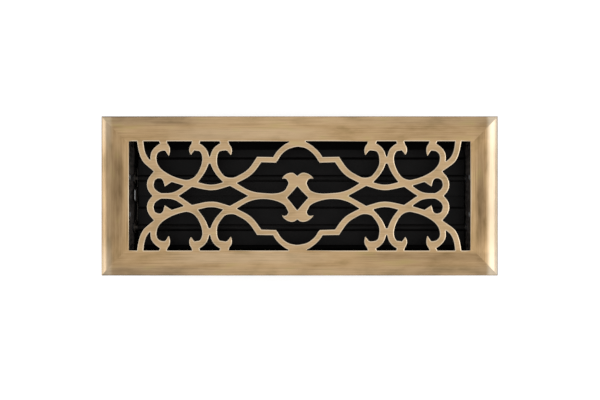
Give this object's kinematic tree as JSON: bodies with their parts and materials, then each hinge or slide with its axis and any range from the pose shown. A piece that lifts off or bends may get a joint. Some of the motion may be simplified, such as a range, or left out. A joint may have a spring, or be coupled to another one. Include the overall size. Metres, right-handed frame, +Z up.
{
  "type": "floor register",
  "caption": "Floor vent register with a crowned scroll grille, a sheet steel duct box and a damper of lapped blades worked by a link bar reached through the grille.",
  "frame": {"origin": "centre of the face plate's seat, level with the floor", "axes": "+X along the register, +Y towards its rear side, +Z up out of the floor"},
  "size_m": [0.3398, 0.1366, 0.0568],
  "materials": {
    "cast_brass": "antique brass, brushed along its length",
    "black_enamel": "satin black enamel",
    "zinc_plate": "bright zinc plating",
    "black_nylon": "moulded nylon"
  },
  "bodies": {
    "frame": {"face_plate": "cast_brass", "side_wall_rear": "black_enamel", "side_wall_front": "black_enamel", "end_wall_left": "black_enamel", "end_wall_right": "black_enamel", "corner_rivets": "black_enamel", "end_bracket_left": "zinc_plate", "end_bracket_right": "zinc_plate", "bracket_rivets": "zinc_plate", "plate_screws": "zinc_plate", "blade_stop_rear": "black_enamel", "blade_stop_front": "black_enamel", "stop_rivets": "black_enamel", "pivot_bushes": "black_nylon"},
    "rear_blade": {"blade_rear": "black_enamel", "pivot_rod_rear": "zinc_plate", "rod_clips_rear": "black_enamel", "rod_caps_rear": "zinc_plate", "crank_rear": "zinc_plate", "link_pin_rear": "zinc_plate"},
    "front_blade": {"blade_front": "black_enamel", "pivot_rod_front": "zinc_plate", "rod_clips_front": "black_enamel", "rod_caps_front": "zinc_plate", "crank_front": "zinc_plate", "link_pin_front": "zinc_plate"},
    "link": {"link_bar": "zinc_plate"}
  },
  "joints": [
    {"name": "rear_hinge", "type": "hinge", "parent": "frame", "child": "rear_blade", "pos_m": [0, 0.01559, -0.019], "axis": [-1, 0, 0], "range_deg": [0, 80]},
    {"name": "front_hinge", "type": "hinge", "parent": "frame", "child": "front_blade", "pos_m": [0, -0.02781, -0.019], "axis": [-1, 0, 0], "range_deg": [0, 80]},
    {"name": "link_hinge", "type": "hinge", "parent": "rear_blade", "child": "link", "pos_m": [-0.1439, 0.02202, -0.02666], "axis": [-1, 0, 0], "range_deg": [-80, 0]}
  ],
  "couplings": [
    {"joint": "front_hinge", "follows": "rear_hinge", "ratio": 1},
    {"joint": "link_hinge", "follows": "rear_hinge", "ratio": -1}
  ]
}
